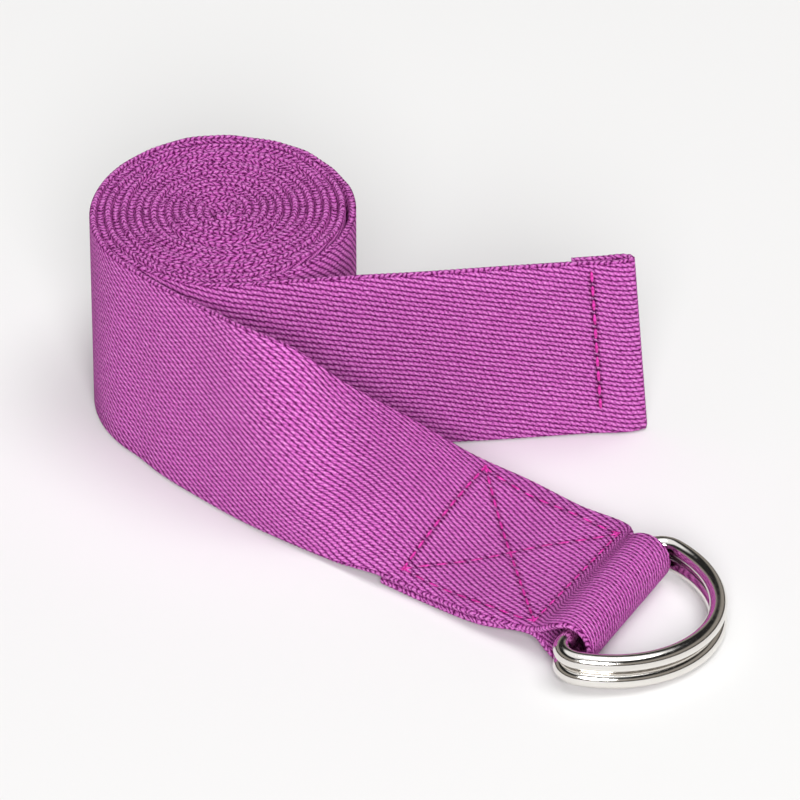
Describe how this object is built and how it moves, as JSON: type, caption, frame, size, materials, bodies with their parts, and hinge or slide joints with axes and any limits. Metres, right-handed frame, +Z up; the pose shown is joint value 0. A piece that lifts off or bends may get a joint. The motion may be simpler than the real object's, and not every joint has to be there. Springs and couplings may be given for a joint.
{
  "type": "stretching strap",
  "caption": "Rolled cotton webbing exercise strap with a sewn loop that holds stacked metal D-rings at one end and a hemmed free end.",
  "frame": {"origin": "on the floor, under the middle of the roll", "axes": "+X is the way the D-rings point from the loop, +Z is up, +Y is to the left of +X"},
  "size_m": [0.141, 0.084, 0.0381],
  "materials": {
    "webbing": "cotton twill webbing",
    "ring_metal": "polished nickel plate",
    "thread": "spun polyester sewing thread"
  },
  "bodies": {
    "strap": {"webbing_roll": "webbing", "webbing_ring_end": "webbing", "webbing_flap": "webbing", "webbing_loop": "webbing", "webbing_free_end": "webbing", "webbing_hem": "webbing", "box_stitch": "thread", "hem_stitch": "thread"},
    "lower_ring": {"d_ring_lower": "ring_metal"},
    "upper_ring": {"d_ring_upper": "ring_metal"}
  },
  "joints": [
    {"name": "rings_swing", "type": "hinge", "parent": "strap", "child": "lower_ring", "pos_m": [0.09558, -0.036, 0.0046], "axis": [0.0436, -0.999, 0], "range_deg": [-95, 95]},
    {"name": "rings_open", "type": "hinge", "parent": "lower_ring", "child": "upper_ring", "pos_m": [0.09558, -0.036, 0.0062], "axis": [0.0436, -0.999, 0], "range_deg": [0, 45]}
  ]
}
